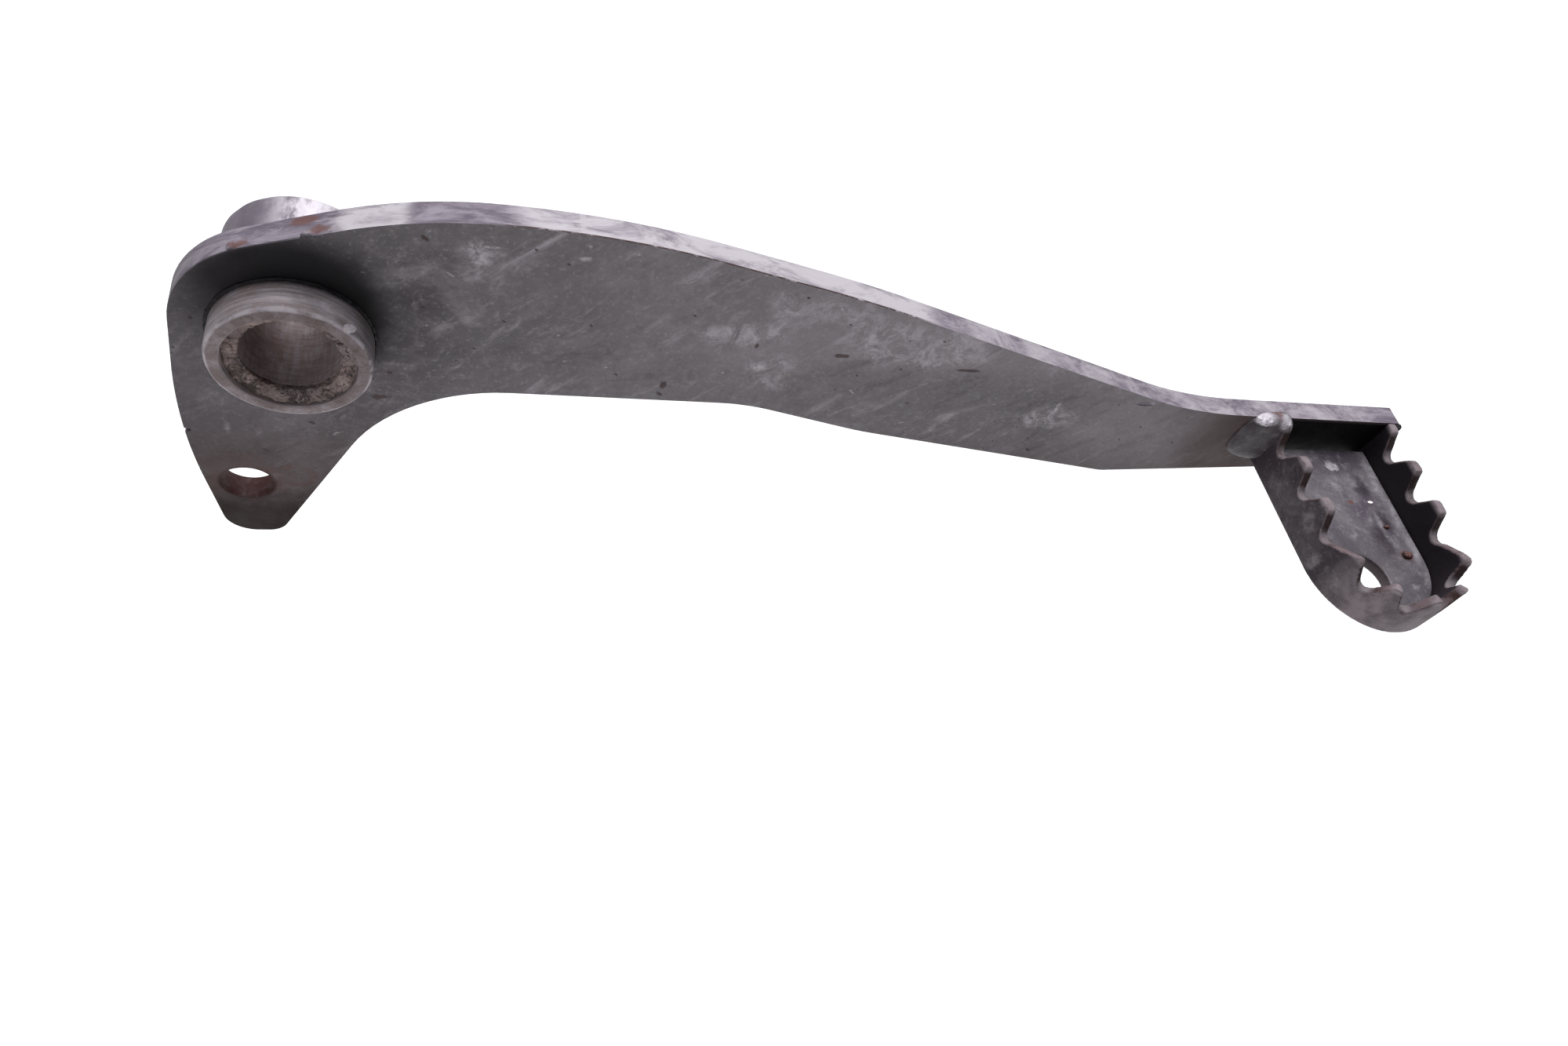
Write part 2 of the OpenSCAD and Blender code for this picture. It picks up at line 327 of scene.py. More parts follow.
class Layers:
    """Node tree of one material, with short calls for the patterns that worn steel needs."""

    def __init__(self, name):
        self.material = bpy.data.materials.new(name)
        self.material.use_nodes = True
        self.tree = self.material.node_tree
        self.shader = self.tree.nodes["Principled BSDF"]
        self.place = self.node("ShaderNodeTexCoord")
        self.tint = None
        self.split_normal = self.node("ShaderNodeSeparateXYZ")
        self.join(self.place.outputs["Normal"], self.split_normal.inputs[0])

    def node(self, kind, **settings):
        new = self.tree.nodes.new(kind)
        for key, value in settings.items():
            setattr(new, key, value)
        return new

    def join(self, source, target):
        self.tree.links.new(source, target)

    def feed(self, value, socket):
        """Links an output to a socket, or sets the socket to a constant."""
        if isinstance(value, bpy.types.NodeSocket):
            self.join(value, socket)
        else:
            socket.default_value = value

    def math(self, operation, first, second=0.0):
        new = self.node("ShaderNodeMath", operation=operation)
        self.feed(first, new.inputs[0])
        self.feed(second, new.inputs[1])
        return new.outputs[0]

    def plus(self, first, second):
        return self.math("ADD", first, second)

    def minus(self, first, second):
        return self.math("SUBTRACT", first, second)

    def times(self, first, second):
        return self.math("MULTIPLY", first, second)

    def coords(self, stretch=(1, 1, 1), turn=(0, 0, 0), shift=(0, 0, 0)):
        """Object coordinates in metres, stretched, turned and shifted."""
        new = self.node("ShaderNodeMapping")
        new.inputs["Location"].default_value = shift
        new.inputs["Rotation"].default_value = turn
        new.inputs["Scale"].default_value = stretch
        self.join(self.place.outputs["Object"], new.inputs["Vector"])
        return new.outputs[0]

    def slanted(self, slant, long, shift=(0, 0, 0)):
        """Coordinates that draw marks out along one slant in the XZ plane."""
        turned = self.node("ShaderNodeMapping")
        turned.inputs["Rotation"].default_value = (math.radians(90), 0, slant)
        self.join(self.place.outputs["Object"], turned.inputs["Vector"])
        drawn = self.node("ShaderNodeMapping")
        drawn.inputs["Location"].default_value = shift
        drawn.inputs["Scale"].default_value = (1 / long, 1, 1)
        self.join(turned.outputs[0], drawn.inputs["Vector"])
        return drawn.outputs[0]

    def noise(self, scale, detail=4.0, rough=0.55, warp=0.0, place=None, **where):
        place = place or self.coords(**where)
        new = self.node("ShaderNodeTexNoise")
        new.inputs["Scale"].default_value = scale
        new.inputs["Detail"].default_value = detail
        new.inputs["Roughness"].default_value = rough
        new.inputs["Distortion"].default_value = warp
        self.join(place, new.inputs["Vector"])
        return new.outputs["Fac"]

    def strokes(self, scale, slant, long, width, share, shift=(0, 0, 0)):
        """Mask of short marks in the XZ plane, all at one slant, over a share of the surface."""
        place = self.slanted(slant, long, shift)
        cells = self.node("ShaderNodeTexVoronoi", voronoi_dimensions="2D")
        cells.inputs["Scale"].default_value = scale
        self.join(place, cells.inputs["Vector"])
        frayed = self.plus(cells.outputs["Distance"],
                           self.times(self.minus(self.noise(1500, 4, 0.7), 0.5), width * 2))
        chosen = self.node("ShaderNodeSeparateColor")
        self.join(cells.outputs["Color"], chosen.inputs[0])
        return self.both(self.ramp(frayed, width, width * 0.55),
                         self.ramp(chosen.outputs[0], 1 - share, 1.01 - share))

    def radius(self):
        """Distance from the pivot's axis, in metres."""
        place = self.coords(stretch=(1, 0, 1))
        new = self.node("ShaderNodeVectorMath", operation="LENGTH")
        self.join(place, new.inputs[0])
        return new.outputs["Value"]

    def along(self, axis):
        """Object coordinate along one axis, in metres: 0 is X, 1 is Y and 2 is Z."""
        new = self.node("ShaderNodeSeparateXYZ")
        self.join(self.place.outputs["Object"], new.inputs[0])
        return new.outputs[axis]

    def band(self, value, middle, half, soft):
        """Mask of the values within half of a middle, which falls to nought over soft."""
        away = self.math("ABSOLUTE", self.minus(value, middle))
        return self.ramp(away, half + soft, half)

    def ramp(self, value, low, high, bottom=0.0, top=1.0):
        """Soft step from bottom at low to top at high."""
        new = self.node("ShaderNodeMapRange", interpolation_type="SMOOTHSTEP")
        self.feed(value, new.inputs["Value"])
        new.inputs["From Min"].default_value = low
        new.inputs["From Max"].default_value = high
        new.inputs["To Min"].default_value = bottom
        new.inputs["To Max"].default_value = top
        return new.outputs[0]

    def rise(self, axis, low, high, bottom=0.0, top=1.0):
        """Ramp along an axis between two places in millimetres."""
        return self.ramp(self.along(axis), low * MM, high * MM, bottom, top)

    def patch(self, centre, radii, ragged=0.35, scale=180, soft=0.5):
        """Mask of the inside of an ellipsoid with a ragged edge; sizes in millimetres."""
        inverse = [1 / (radius * MM) for radius in radii]
        shift = [-part * MM * factor for part, factor in zip(centre, inverse)]
        place = self.coords(stretch=inverse, shift=shift)
        new = self.node("ShaderNodeVectorMath", operation="LENGTH")
        self.join(place, new.inputs[0])
        wobble = self.times(self.minus(self.noise(scale, 5, 0.6), 0.5), ragged * 4)
        return self.ramp(self.plus(new.outputs["Value"], wobble), 1 + soft / 2, 1 - soft / 2)

    def centre_distance(self, centre):
        """Distance in the XZ plane from a centre given in millimetres, in metres."""
        shift = [-part * MM for part in centre]
        place = self.coords(stretch=(1, 0, 1), shift=(shift[0], 0, shift[2]))
        new = self.node("ShaderNodeVectorMath", operation="LENGTH")
        self.join(place, new.inputs[0])
        return new.outputs["Value"]

    def edge_of_ends(self):
        """Distance of a point from the nearer end face of the boss."""
        place = self.along(1)
        near = self.minus(place, BOSS_LOW.y)
        far = self.minus(BOSS_HIGH.y, place)
        return self.math("MINIMUM", near, far)

    def tread_inside(self):
        """Mask of the strip's inner walls: one inside the U and nought outside it."""
        leg = self.math("ABSOLUTE", self.minus(self.along(0), BAND_MIDDLE))
        past = self.math("MINIMUM", self.minus(self.along(1), BAND_LOW.y + BAND_R), 0.0)
        away = self.math("SQRT", self.plus(self.times(leg, leg), self.times(past, past)))
        return self.ramp(away, BAND_R - 1.5 * MM, BAND_R - 1.9 * MM)

    def mix(self, first, second, amount):
        """First colour with the second over it, as far as the amount says."""
        new = self.node("ShaderNodeMix", data_type="RGBA")
        factor, low, high, result = MIX_SOCKETS
        self.feed(amount, new.inputs[factor])
        self.feed(first, new.inputs[low])
        self.feed(second, new.inputs[high])
        return new.outputs[result]

    def ground(self, first, second, amount):
        """Starts the layers of colour with a mix of two."""
        self.tint = self.mix(first, second, amount)

    def coat(self, tint, amount):
        """Lays a colour over the layers so far."""
        self.tint = self.mix(self.tint, tint, amount)

    def both(self, first, second):
        """Mask where both masks are."""
        return self.times(first, second)

    def either(self, first, second):
        """Mask where one of two masks is."""
        return self.math("MAXIMUM", first, second)

    def facing(self, axis, low, high):
        """Mask of the surface that faces up an axis: 0 is X, 1 is Y and 2 is Z."""
        return self.ramp(self.split_normal.outputs[axis], low, high)

    def facing_away(self, axis):
        """How squarely the surface faces down an axis."""
        return self.times(self.split_normal.outputs[axis], -1.0)

    def flatness(self):
        """How squarely the surface faces along Y, from nought to one."""
        return self.math("ABSOLUTE", self.split_normal.outputs[1])

    def bump(self, height, distance, strength):
        """Small relief whose full height is a distance in metres."""
        new = self.node("ShaderNodeBump")
        new.inputs["Strength"].default_value = strength
        new.inputs["Distance"].default_value = distance
        self.feed(height, new.inputs["Height"])
        return new.outputs[0]

    def done(self, roughness, metallic, normal):
        """Joins the layers to the shader and returns the material."""
        self.feed(self.tint, self.shader.inputs["Base Color"])
        self.feed(roughness, self.shader.inputs["Roughness"])
        self.feed(metallic, self.shader.inputs["Metallic"])
        self.shader.inputs["Specular IOR Level"].default_value = GLOSS
        self.feed(normal, self.shader.inputs["Normal"])
        return self.material


# Marks that go through the plate, in millimetres: X and Z of the middle, then both radii
SMEARS = ((92, 15, 9, 5), (106, 7, 10, 4.5), (119, 7, 9, 5), (84, -2, 5, 3.5), (76, 8, 8, 2.5),
          (152, -12, 6, 2.5), (30, 21, 3, 3))
BRIGHT_NICKS = ((28.2, 22.4, 0.5, 1.6), (31.6, 23.4, 1.6, 0.3), (46.5, 22.6, 0.9, 0.45),
                (29.8, 20.4, 1.4, 1.2), (-13.4, -25.4, 0.5, 1.6), (82, -1, 1.3, 1.0), (152, -8.5, 0.5, 1.5))
EAR_RUST = ((-14, -37, 6, 3.5), (-12, -44, 9.5, 7.5), (-12, -55, 9, 7))
DARK_NICKS = ((-11.3, -53.6, 1.9, 1.3), (64.6, -7.5, 0.6, 0.9), (80.3, 4.9, 0.5, 0.8), (126, 1.5, 2.6, 0.4),
              (13.3, -14.8, 1.4, 0.7), (-15, 2.9, 0.4, 0.4), (15.1, -8, 0.4, 0.4), (98, 3.5, 1.5, 0.5))

# Other marks, in millimetres: the middle and the three radii
RUST_BLOBS = ((3.6, 1.4, 22, 2.6, 1.0, 3), (6, -1, 22, 1.6, 1, 3), (-6.5, -1.2, 18.5, 1.6, 0.8, 1.6),
              (244, 0, -22, 5, 9, 3))
SEAT_CRUMBS = ((-6.8, -8, -6.3, 2.6, 3, 2), (-8.4, -8, -3.2, 1.6, 3, 1.6), (0.4, -8, -9.2, 1.8, 3, 1.2),
               (5.8, -8, -7.6, 1.6, 3, 1.0))
DULL_PATCHES = ((234.6, -30, -17.5, 2.6, 5, 3), (236.5, -15.6, -17.5, 2.4, 2.8, 3),
                (238, -25, -17.5, 1.4, 3, 3))
PALE_CHIPS = ((211.7, -27.6, -14.8, 2, 2.4, 2), (211.7, -35.9, -18, 2, 1.4, 2.6),
              (214, -41, -17, 3, 2.4, 2.2), (244, -38, -15, 1.2, 2, 3), (229, -52.5, -18.5, 6, 3, 2))
SCUFFED_PATCHES = ((221, -6, -17.5, 6, 1.4, 3), (236.4, -26, -17.5, 0.8, 3.6, 3),
                   (231, -14, -17.5, 5, 1.6, 3))
RUST_DOTS = ((237.5, -26.8, -17.5, 0.9, 0.6, 2), (238.9, -34.7, -17.2, 1.6, 1.3, 2),
             (230.9, -19.6, -17.5, 0.9, 0.5, 2))


def spots(k, places, ragged, scale, soft):
    """Mask of several ragged patches."""
    mask = None
    for place in places:
        if len(place) == 4:
            x, z, wide, high = place
            patch = k.patch((x, 0, z), (wide, THROUGH, high), ragged, scale, soft)
        else:
            patch = k.patch(place[:3], place[3:], ragged, scale, soft)
        mask = patch if mask is None else k.either(mask, patch)
    return mask


def arm_paint(finish):
    """Dark grey paint with smears, scratches and pits, a light upper edge and rust at the ear, with painted
    shade and shadow round the boss, by the tread and inside it.
    """
    k = Layers("Arm paint")
    fine = k.noise(1400, 6, 0.7)
    grain = k.noise(420, 6, 0.65)
    broad = k.noise(26, 6, 0.62, 0.8)
    cloud = k.noise(75, 6, 0.62, 1.2, stretch=(0.6, 1, 1), turn=(0, 0.5, 0))
    k.ground(finish.paint, finish.paint_worn, k.ramp(broad, 0.3, 0.75, 0.1, 0.6))
    k.coat(finish.paint_worn, k.rise(0, 55, 100, 0, 0.55))
    k.coat(finish.tread, k.rise(0, 75, 45, 0, 0.13))
    # Painted shade: darker paint in a ring on the right of the boss and in a patch above it to the right
    near = k.both(k.ramp(k.radius(), 33 * MM, 19 * MM), k.rise(0, -4, 8, 0, 0.42))
    near = k.either(near, k.times(k.patch((21, 0, 12), (8, 9, 8), 0.2, 60, 1.4), 0.6))
    k.coat(finish.tread, near)
    low = k.both(k.rise(2, 5, -5), k.rise(0, 78, 96, 0, 0.6))
    k.coat(finish.paint, k.both(low, k.rise(0, 172, 150)))
    k.coat(finish.paint_worn, k.ramp(cloud, 0.5, 0.72, 0, 0.5))
    k.coat(finish.paint, k.ramp(cloud, 0.42, 0.28, 0, 0.6))
    k.coat(finish.paint_worn, k.ramp(grain, 0.48, 0.75, 0, 0.5))
    scuff = k.noise(150, 8, 0.75, 0.5, k.slanted(0.75, 3))
    k.coat(finish.steel, k.ramp(scuff, 0.52, 0.74, 0, 0.46))
    k.coat(finish.tread, k.ramp(scuff, 0.46, 0.27, 0, 0.44))
    k.coat(finish.steel, k.ramp(fine, 0.52, 0.78, 0, 0.3))
    k.coat(finish.tread, k.ramp(fine, 0.46, 0.22, 0, 0.4))
    smears = spots(k, SMEARS, 1.0, 90, 1.4)
    crust = k.both(smears, k.ramp(k.noise(230, 10, 0.8, 0.9), 0.42, 0.62))
    k.coat(finish.steel, k.times(crust, 0.55))
    cracks = k.both(smears, k.ramp(k.noise(340, 8, 0.8, 1.5, shift=(1, 2, 3)), 0.60, 0.66))
    light = k.either(k.strokes(60, 1.0, 7, 0.016, 0.3), k.strokes(75, 2.4, 5, 0.018, 0.25, (3, 1, 0)))
    light = k.either(light, k.strokes(110, 0.35, 6, 0.02, 0.16, (1, 4, 0)))
    light = k.either(light, spots(k, BRIGHT_NICKS, 0.5, 420, 1.2))
    k.coat(finish.steel, k.times(light, k.ramp(fine, 0.35, 0.6, 0.1, 0.6)))
    specks = k.strokes(190, 0.2, 1.4, 0.05, 0.09, (9, 0, 0))
    k.coat(finish.steel, k.times(specks, 0.35))
    square = k.flatness()
    rim = k.both(k.ramp(square, 0.985, 0.93), k.ramp(square, 0.35, 0.6))
    upper = k.both(k.facing(2, 0.3, 0.6), k.ramp(square, 0.75, 0.5))
    streak = k.noise(220, 8, 0.75, 0.8, stretch=(0.4, 1.6, 0.5))
    worn = k.mix(finish.boss_rear, finish.band, k.ramp(streak, 0.42, 0.62, 0, 0.8))
    frayed = k.plus(k.along(0), k.times(streak, 8 * MM))
    shiny = k.either(k.band(frayed, 17.5 * MM, 3.5 * MM, 3 * MM), k.band(frayed, 79 * MM, 36 * MM, 6 * MM))
    rubbed = k.noise(170, 8, 0.75, 0.6, stretch=(0.4, 1.5, 1), shift=(1, 1, 4))
    shiny = k.both(shiny, k.ramp(rubbed, 0.36, 0.56, 0.2))
    worn = k.mix(worn, finish.steel, shiny)
    far = k.band(k.along(0), 178 * MM, 53 * MM, 16 * MM)
    worn = k.mix(worn, finish.steel,
                 k.both(far, k.ramp(k.noise(90, 8, 0.75, 0.5, shift=(0, 3, 1)), 0.4, 0.62, 0.05, 0.65)))
    worn = k.mix(worn, finish.steel, k.times(k.strokes(160, 0.4, 5, 0.05, 0.4, (7, 2, 0)), 0.5))
    worn = k.mix(worn, finish.tread, k.rise(0, -4, -16, 0, 0.15))
    k.coat(worn, upper)
    k.coat(finish.band, k.both(rim, k.ramp(k.noise(190, 5, 0.65), 0.42, 0.58, 0.1, 0.85)))
    front = k.both(k.facing(2, 0.06, 0.16), k.rise(1, -2.0, -2.25))
    front = k.both(front, k.ramp(square, 0.985, 0.96))
    brown = k.both(front,
                   k.both(k.band(k.along(0), 72 * MM, 34 * MM, 12 * MM),
                          k.ramp(k.noise(480, 4, 0.6), 0.3, 0.5, 0.2)))
    ear = spots(k, EAR_RUST, 0.5, 170, 1.0)
    ear = k.both(ear, k.ramp(k.noise(240, 7, 0.7, 0.5), 0.25, 0.7, 0.15, 0.62))
    mouth = k.both(k.patch(ROD_AT / MM, (6.6, 9, 6.6), 0.5, 300, 0.5), k.ramp(grain, 0.3, 0.6, 0.3, 0.9))
    ring = k.math("ABSOLUTE", k.minus(k.centre_distance((-2.9, 0, -39.9)), 3.1 * MM))
    ring = k.both(k.ramp(ring, 1.0 * MM, 0.3 * MM), k.ramp(k.noise(330, 6, 0.7), 0.4, 0.6, 0.1, 0.75))
    blobs = spots(k, RUST_BLOBS, 0.6, 380, 0.8)
    rust = k.either(k.either(ear, k.either(mouth, ring)), blobs)
    k.coat(finish.rust, k.times(rust, 0.75))
    k.coat(finish.rust_dark, brown)
    k.coat(HOLE_RUST,
           k.both(k.ramp(k.centre_distance(ROD_AT / MM), 5.6 * MM, 5.15 * MM),
                  k.ramp(grain, 0.3, 0.6, 0.7)))
    dark = spots(k, DARK_NICKS, 0.6, 420, 0.6)
    pits = k.either(k.strokes(120, -0.75, 2.2, 0.05, 0.22, (2, 2, 0)),
                    k.strokes(260, -0.6, 1.6, 0.07, 0.14, (5, 1, 0)))
    pits = k.both(pits, k.ramp(k.noise(30, 3, 0.6, shift=(4, 0, 1)), 0.36, 0.5))
    deep = k.both(pits, k.ramp(square, 0.8, 0.95))
    pits = k.either(k.either(pits, dark), k.times(cracks, 0.5))
    k.coat(finish.rust_dark, k.both(k.times(pits, 0.8), k.ramp(square, 0.8, 0.95)))
    # Painted shade: nearly black on the arm's face inside the tread's U, down to just below the floor
    inside = k.both(k.band(k.along(0), BAND_MIDDLE, 15 * MM, 0.5 * MM), k.rise(2, -8.2, -9.2))
    inside = k.both(inside, k.both(k.rise(1, -1.9, -2.3), k.rise(2, -22, -20)))
    # Painted shadow: nearly black on the plate above the boss and to its right
    painted_boss_shadow = k.ramp(k.centre_distance((-0.2, 0, 6.6)), 20 * MM, 12 * MM)
    painted_boss_shadow = k.both(painted_boss_shadow, k.ramp(k.plus(k.along(0), k.along(2)), -18 * MM, 3 * MM))
    painted_boss_shadow = k.both(painted_boss_shadow, k.rise(1, -1.9, -2.3))
    k.coat(finish.soot_and_shade, painted_boss_shadow)
    # Flat faces darker towards the left end and towards the ear, and darker towards the tread as painted
    # shade
    left = k.rise(0, 0.0, -18, 0, 0.37)
    lower = k.rise(2, -14, -36, 0, 0.5)
    right = k.rise(0, 178, 202, 0, 0.8)
    k.coat(finish.tread, k.both(left, square))
    k.coat(finish.rust_dark, k.both(k.either(lower, right), square))
    scorch = k.both(k.ramp(k.plus(k.along(2), k.times(grain, 8 * MM)), -36 * MM, -49 * MM, 0, 0.95), square)
    k.coat(SCORCH, scorch)
    k.coat(DEEP_SHADE, inside)
    tip = k.both(k.facing(0, 0.4, 0.8), k.rise(0, 243, 245))
    k.coat(finish.band, k.both(tip, k.ramp(grain, 0.35, 0.6, 0.1, 0.8)))
    roughness = k.ramp(k.noise(160, 6, 0.6), 0.3, 0.7, 0.5, 0.72)
    height = k.plus(k.times(fine, 0.25), k.times(grain, 0.5))
    height = k.plus(height, k.times(scuff, 0.5))
    height = k.minus(height, k.times(deep, 1.4))
    return k.done(roughness, 0.05, k.bump(height, 0.12 * MM, 0.6))


def boss_steel(finish):
    """Turned steel with a worn rim of bare steel, brown streaks and tool marks in the bore, painted shade
    at its root and a painted highlight on top of its long end.
    """
    k = Layers("Boss steel")
    fine = k.noise(1300, 6, 0.7)
    grain = k.noise(380, 7, 0.7, 0.4)
    away = k.radius()
    place = k.along(1)
    turned = k.noise(240, 6, 0.7, 0.3, stretch=(0.18, 2.2, 0.18))
    k.ground(finish.boss, finish.paint_worn, k.ramp(grain, 0.4, 0.65))
    k.coat(finish.steel, k.ramp(turned, 0.46, 0.68, 0, 0.6))
    k.coat(finish.paint, k.ramp(k.noise(150, 8, 0.75, 1.0, stretch=(0.5, 1.6, 0.5)), 0.46, 0.62, 0, 0.4))
    k.coat(finish.steel, k.ramp(fine, 0.54, 0.76, 0, 0.4))
    # Painted shade at the boss's root by the plate, and painted shadow on its right side
    root = k.either(k.ramp(place, FACE_OUT - 1.6 * MM, FACE_OUT - 0.2 * MM), k.rise(0, 8, 12, 0, 0.6))
    k.coat(finish.soot_and_shade, k.times(k.both(root, k.ramp(place, 0.0, -MM)), 0.8))
    rear = k.ramp(place, FACE_IN - MM, FACE_IN)
    long_end = k.mix(finish.boss_rear, finish.paint_worn, k.ramp(grain, 0.42, 0.68, 0, 0.4))
    # Painted highlight along the upward faces of the boss's long end
    painted_highlight = k.both(k.ramp(k.noise(150, 7, 0.75, 0.2, stretch=(1, 0.4, 1)), 0.38, 0.56, 0.1, 0.9),
                   k.rise(0, -7, 3))
    long_end = k.mix(long_end, PAINTED_HIGHLIGHT, k.both(k.facing(2, 0.7, 0.98), painted_highlight))
    k.coat(long_end, rear)
    face = k.both(k.ramp(k.facing_away(1), 0.8, 0.95), k.ramp(away, SEAT_R, SEAT_R + 0.2 * MM))
    rim_tint = k.mix(finish.boss, finish.steel, k.ramp(k.noise(300, 7, 0.7, 0.3), 0.4, 0.7, 0, 0.5))
    rim_tint = k.mix(rim_tint, finish.dirt_dark,
                     k.ramp(k.noise(420, 8, 0.75, 0.6, shift=(2, 0, 5)), 0.5, 0.7, 0, 0.55))
    rim_tint = k.mix(rim_tint, finish.rust_dark,
                     k.ramp(k.plus(k.along(0), k.along(2)), -8 * MM, 14 * MM, 0.3, 0.5))
    k.coat(rim_tint, face)
    lip = k.both(k.ramp(away, BOSS_R - 0.75 * MM, BOSS_R - 0.35 * MM),
                 k.ramp(k.edge_of_ends(), 0.9 * MM, 0.25 * MM))
    k.coat(finish.steel, k.both(lip, k.ramp(k.noise(260, 5, 0.6), 0.36, 0.56, 0, 0.6)))
    seat = k.both(k.ramp(away, SEAT_R + 0.1 * MM, SEAT_R - 0.15 * MM),
                  k.ramp(away, BORE_R + 0.15 * MM, BORE_R + 0.4 * MM))
    seat_tint = k.mix(finish.dirt, finish.boss, k.ramp(grain, 0.4, 0.6))
    seat_tint = k.mix(seat_tint, finish.dirt_dark, k.ramp(k.noise(420, 7, 0.75, 0.8), 0.55, 0.64, 0, 0.8))
    k.coat(seat_tint, seat)
    bore = k.ramp(away, BORE_R + 0.4 * MM, BORE_R + 0.15 * MM)
    axial = k.noise(1000, 5, 0.7, 0.2, stretch=(1, 0.22, 1))
    cross = k.noise(900, 5, 0.7, 0.2, stretch=(0.3, 1.6, 0.3), shift=(1, 2, 3))
    bore_tint = k.mix(finish.bore, finish.steel, k.ramp(axial, 0.44, 0.62, 0, 0.4))
    bore_tint = k.mix(bore_tint, finish.rust_dark, k.ramp(cross, 0.46, 0.6, 0, 0.25))
    bore_tint = k.mix(bore_tint, finish.rust_dark, k.rise(0, -2, -8, 0, 0.6))
    bore_tint = k.mix(bore_tint, finish.rust, k.ramp(k.noise(110, 5, 0.6), 0.5, 0.7, 0.05, 0.35))
    k.coat(bore_tint, bore)
    height = k.plus(k.times(fine, 0.3), k.times(grain, 0.5))
    height = k.plus(height, k.times(turned, 0.2))
    height = k.plus(height, k.both(bore, k.times(k.plus(axial, cross), 1.2)))
    return k.done(k.ramp(grain, 0.3, 0.7, 0.45, 0.68), 0.1, k.bump(height, 0.14 * MM, 0.75))


def packed_dirt(finish):
    """Dry cracked dirt, brown and grey."""
    k = Layers("Packed dirt")
    fine = k.noise(1500, 8, 0.75)
    grain = k.noise(520, 8, 0.75, 0.6)
    k.ground(finish.dirt, finish.boss, k.ramp(k.noise(170, 6, 0.6), 0.4, 0.6))
    k.coat(finish.rust, k.ramp(k.noise(130, 6, 0.65, shift=(3, 3, 3)), 0.5, 0.66, 0, 0.45))
    k.coat(finish.steel, k.ramp(grain, 0.52, 0.75, 0, 0.4))
    crack = k.ramp(k.noise(520, 8, 0.8, 2.0, shift=(5, 1, 2)), 0.55, 0.61)
    crumbs = spots(k, SEAT_CRUMBS, 0.7, 420, 0.8)
    crack = k.either(crack, k.both(crumbs, k.ramp(k.noise(620, 8, 0.8, 1.0), 0.48, 0.54)))
    k.coat(finish.steel, k.both(k.ramp(fine, 0.5, 0.7, 0, 0.6), k.rise(0, -2, 8, 0.3, 1.0)))
    k.coat(finish.rust_dark, k.ramp(fine, 0.46, 0.3, 0, 0.7))
    k.coat(finish.dirt_dark, k.times(crack, 0.6))
    height = k.minus(k.plus(fine, grain), k.times(crack, 1.2))
    return k.done(0.85, 0.0, k.bump(height, 0.45 * MM, 1.0))


def weld_steel(finish, name="Weld steel", soot_and_shade=0.0):
    """Weld metal under the arm's paint, rubbed light on its top, with painted highlights on the large
    weld's lumps; the darkening amount makes it nearly black, for dark welds with painted shade in the
    corners where they sit.
    """
    k = Layers(name)
    fine = k.noise(1200, 6, 0.7)
    grain = k.noise(300, 7, 0.7, 0.5)
    k.ground(finish.tread, finish.paint, k.ramp(k.noise(150, 6, 0.6, 0.5), 0.3, 0.62, 0.2))
    k.coat(finish.steel, k.ramp(grain, 0.52, 0.75, 0, 0.2))
    top = k.both(k.facing(2, 0.2, 0.8), k.ramp(k.noise(260, 6, 0.65), 0.36, 0.56))
    k.coat(finish.band, k.times(top, 0.6))
    # Painted highlights on the large weld's lumps
    painted_glints = k.patch((206.6, -3.6, -7.6), (2.6, 2.4, 1.4), 0.4, 300, 0.8)
    painted_glints = k.either(painted_glints, k.times(k.patch((212, -4.2, -7.8), (1.6, 2.2, 1.5), 0.4, 300, 0.8), 0.5))
    k.coat(PAINTED_HIGHLIGHT, k.times(painted_glints, k.ramp(fine, 0.35, 0.6, 0.45, 0.85)))
    k.coat(finish.rust, k.times(k.patch((210.3, -1.5, -7.6), (1.6, 2.4, 1.2), 0.4, 300), 0.6))
    # Nearly black over the whole bead by the given amount: dark weld with painted shade, for beads in
    # shaded corners
    k.coat(finish.soot_and_shade, soot_and_shade)
    height = k.plus(k.times(fine, 0.4), grain)
    return k.done(k.ramp(fine, 0.3, 0.7, 0.42, 0.62), 0.1, k.bump(height, 0.15 * MM, 0.6))


